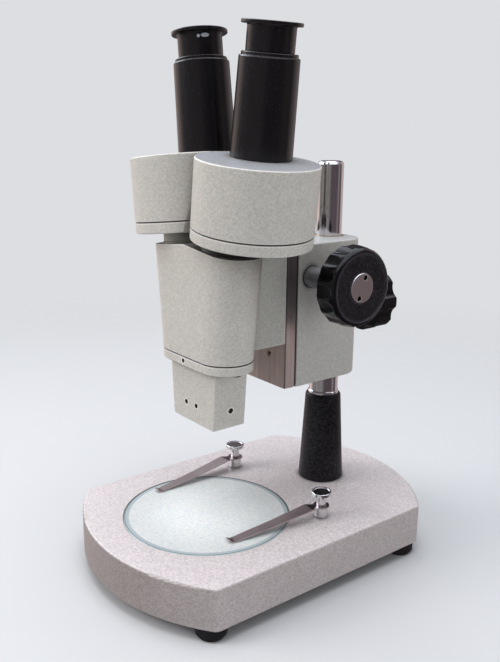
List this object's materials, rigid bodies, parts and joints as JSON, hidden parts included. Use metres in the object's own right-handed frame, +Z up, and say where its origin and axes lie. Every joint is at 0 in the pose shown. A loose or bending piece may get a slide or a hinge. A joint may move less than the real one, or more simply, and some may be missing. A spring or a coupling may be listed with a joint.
{
  "type": "stereo microscope",
  "caption": "Pillar-stand stereo microscope with swivelling prism housings, straight eyepieces, rack focus block, bowed base, round stage plate and spring clips.",
  "frame": {"origin": "centre of the stage plate's top face, where the two optical axes meet", "axes": "+Z up, +Y from the stage towards the pillar, +X to the right of the stand seen from the user's side"},
  "size_m": [0.136, 0.2002, 0.2959],
  "materials": {
    "base_paint": "speckled enamel, pinkish grey, satin",
    "head_paint": "fine speckled enamel, warm light grey, satin",
    "rubber": "matte black",
    "zinc": "zinc plated",
    "pillar_chrome": "polished chrome plate",
    "clip_chrome": "polished chrome plate",
    "sleeve_black": "matte black enamel",
    "frosted_glass": "frosted top, greenish clear edge",
    "spring_steel": "polished spring strip",
    "brass": "machined",
    "knob_black": "moulded black plastic, semi gloss",
    "black_steel": "black oxide",
    "turned_steel": "turned",
    "cap_metal": "circular brushed",
    "slide_steel": "ground, brushed lengthwise",
    "black_anodised": "black anodised",
    "lens_glass": "coated optical glass",
    "neck_metal": "dark grey green anodised",
    "aluminium": "machined",
    "tube_black": "satin black enamel",
    "eyepiece_black": "moulded black plastic, satin"
  },
  "bodies": {
    "base": {"base_casting": "base_paint", "rubber_feet": "rubber", "foot_screws": "zinc", "pillar": "pillar_chrome", "pillar_sleeve": "sleeve_black", "pillar_bolt": "zinc", "pillar_washer": "zinc", "stage_plate": "frosted_glass", "clip_posts": "clip_chrome", "clip_bosses": "clip_chrome"},
    "clip_right": {"clip_arm_right": "spring_steel"},
    "clip_left": {"clip_arm_left": "spring_steel"},
    "collar": {"stop_collar": "pillar_chrome"},
    "arm": {"arm_housing": "head_paint", "arm_bushing": "brass", "clamp_pad": "brass", "gib_strip": "brass", "gib_screws": "black_steel", "shaft_bushings": "turned_steel"},
    "rear_knob": {"clamp_knob": "knob_black", "clamp_stud": "zinc"},
    "focus_knobs": {"focus_shaft": "turned_steel", "pinion": "brass", "knob_right": "knob_black", "knob_left": "knob_black", "knob_caps": "cap_metal"},
    "head": {"focus_slide": "slide_steel", "rack": "brass", "slide_screws": "black_steel", "stop_screws": "black_steel", "head_bracket": "head_paint", "bracket_screws": "black_steel", "objective_housing": "head_paint", "housing_ring": "head_paint", "ring_screws": "black_steel", "objective_block": "head_paint", "block_screws": "black_steel", "objective_cells": "black_anodised", "objective_lenses": "lens_glass"},
    "prism_right": {"neck_right": "neck_metal", "sync_gear_right": "brass", "prism_cover_right": "head_paint", "prism_housing_right": "head_paint", "prism_plate_right": "aluminium", "prisms_right": "lens_glass", "prism_clamps_right": "spring_steel", "eyepiece_tube_right": "tube_black"},
    "prism_left": {"neck_left": "neck_metal", "sync_gear_left": "brass", "prism_cover_left": "head_paint", "prism_housing_left": "head_paint", "prism_plate_left": "aluminium", "prisms_left": "lens_glass", "prism_clamps_left": "spring_steel", "eyepiece_tube_left": "tube_black"},
    "eyepiece_right": {"eyepiece_body_right": "eyepiece_black", "eyepiece_lenses_right": "lens_glass"},
    "eyepiece_left": {"eyepiece_body_left": "eyepiece_black", "eyepiece_lenses_left": "lens_glass"}
  },
  "joints": [
    {"name": "collar_height", "type": "slide", "parent": "base", "child": "collar", "axis": [0, 0, 1], "range_m": [0, 0.04]},
    {"name": "arm_swivel", "type": "hinge", "parent": "collar", "child": "arm", "pos_m": [0, 0.0883, 0.1124], "axis": [0, 0, 1], "continuous": true},
    {"name": "rear_knob_turn", "type": "hinge", "parent": "arm", "child": "rear_knob", "pos_m": [0, 0.12, 0.1104], "axis": [0, 1, 0], "range_deg": [0, 270]},
    {"name": "focus", "type": "slide", "parent": "arm", "child": "head", "axis": [0, 0, 1], "range_m": [-0.015, 0.025]},
    {"name": "focus_knob_turn", "type": "hinge", "parent": "arm", "child": "focus_knobs", "pos_m": [0, 0.056, 0.1349], "axis": [1, 0, 0], "range_deg": [-199.5, 119.8]},
    {"name": "prism_swing_right", "type": "hinge", "parent": "head", "child": "prism_right", "pos_m": [0.02088, 0, 0.17919], "axis": [0.116, 0, 0.9933], "range_deg": [-20, 12]},
    {"name": "prism_swing_left", "type": "hinge", "parent": "head", "child": "prism_left", "pos_m": [-0.02088, 0, 0.17919], "axis": [-0.116, 0, 0.9933], "range_deg": [-12, 20]},
    {"name": "eyepiece_pull_right", "type": "slide", "parent": "prism_right", "child": "eyepiece_right", "axis": [0.116, 0, 0.9933], "range_m": [0, 0.022]},
    {"name": "eyepiece_pull_left", "type": "slide", "parent": "prism_left", "child": "eyepiece_left", "axis": [-0.116, 0, 0.9933], "range_m": [0, 0.022]},
    {"name": "clip_swing_right", "type": "hinge", "parent": "base", "child": "clip_right", "pos_m": [0.0423, 0.0498, 0.0064], "axis": [0, 0, 1], "range_deg": [-28, 75]},
    {"name": "clip_swing_left", "type": "hinge", "parent": "base", "child": "clip_left", "pos_m": [-0.041, 0.0508, 0.0064], "axis": [0, 0, 1], "range_deg": [-75, 28]}
  ],
  "couplings": [
    {"joint": "focus_knob_turn", "follows": "focus", "rad_per_m": -138.89},
    {"joint": "prism_swing_left", "follows": "prism_swing_right", "ratio": -1}
  ]
}
